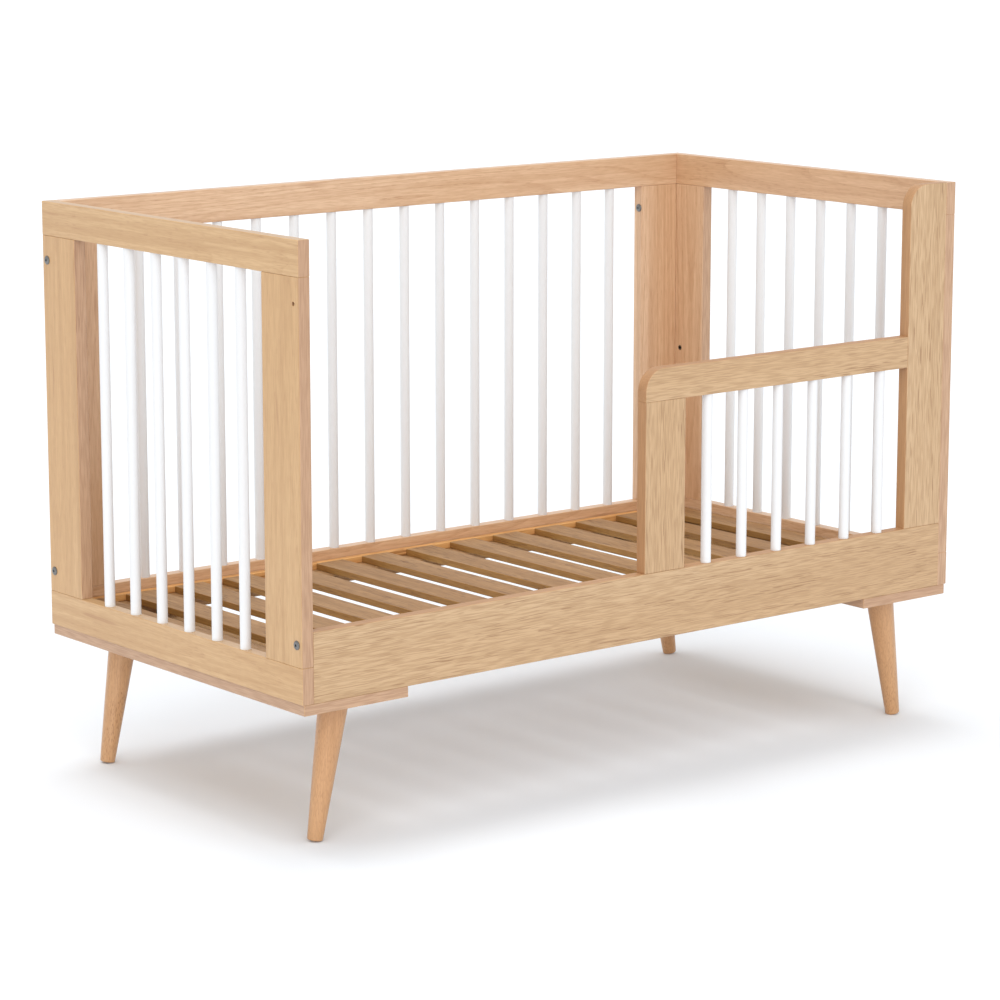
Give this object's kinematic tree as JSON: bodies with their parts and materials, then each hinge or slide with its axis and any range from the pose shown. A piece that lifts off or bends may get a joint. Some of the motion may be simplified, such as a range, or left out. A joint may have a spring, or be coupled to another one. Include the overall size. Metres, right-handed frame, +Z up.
{
  "type": "cot bed",
  "caption": "Cot bed with slatted ends and back, low front board with guard rail, height-adjustable slatted base and splayed turned legs.",
  "frame": {"origin": "on the floor, under the middle of the bed", "axes": "+X along the length towards the guard's end, +Y from the open front to the back panel, +Z up"},
  "size_m": [1.451, 0.746, 0.983],
  "materials": {
    "beech_board": "satin clear lacquer over a fine straight beech grain",
    "oak_board": "satin clear lacquer over an open oak grain",
    "turned_beech": "satin clear lacquer, turned",
    "pine": "planed, unfinished",
    "white_lacquer": "satin opaque white lacquer",
    "zinc_steel": "bright zinc plate",
    "dowel_beech": "planed"
  },
  "bodies": {
    "bedstead": {"left_end_top_rail": "beech_board", "left_end_bottom_rail": "beech_board", "left_end_front_post": "beech_board", "left_end_back_post": "beech_board", "left_end_spindles": "white_lacquer", "right_end_top_rail": "beech_board", "right_end_bottom_rail": "beech_board", "right_end_front_post": "beech_board", "right_end_back_post": "beech_board", "right_end_spindles": "white_lacquer", "back_top_rail": "beech_board", "back_bottom_rail": "beech_board", "back_left_post": "beech_board", "back_right_post": "beech_board", "back_spindles": "white_lacquer", "front_board": "oak_board", "guard_free_post": "oak_board", "guard_tall_post": "oak_board", "guard_rail": "oak_board", "guard_spindles": "white_lacquer", "left_leg_plate": "beech_board", "right_leg_plate": "beech_board", "front_left_leg": "turned_beech", "front_right_leg": "turned_beech", "back_left_leg": "turned_beech", "back_right_leg": "turned_beech", "leg_hanger_bolts": "zinc_steel", "leg_insert_nuts": "zinc_steel", "plate_screws": "zinc_steel", "end_dowel_pins": "dowel_beech", "back_dowel_pins": "dowel_beech", "guard_dowel_pins": "dowel_beech", "long_connector_bolts": "zinc_steel", "sleeve_nuts": "zinc_steel", "short_connector_bolts": "zinc_steel", "barrel_nuts": "zinc_steel", "support_bolts": "zinc_steel", "support_inserts": "zinc_steel"},
    "mattress_base": {"base_front_bearer": "pine", "base_back_bearer": "pine", "base_left_rail": "pine", "base_right_rail": "pine", "base_front_strip": "pine", "base_back_strip": "pine", "slat_screws": "zinc_steel", "slat_1": "pine", "slat_2": "pine", "slat_3": "pine", "slat_4": "pine", "slat_5": "pine", "slat_6": "pine", "slat_7": "pine", "slat_8": "pine", "slat_9": "pine", "slat_10": "pine", "slat_11": "pine", "slat_12": "pine", "slat_13": "pine", "slat_14": "pine"}
  },
  "joints": [
    {"name": "base_height", "type": "slide", "parent": "bedstead", "child": "mattress_base", "axis": [0, 0, 1], "range_m": [0, 0.342]}
  ]
}
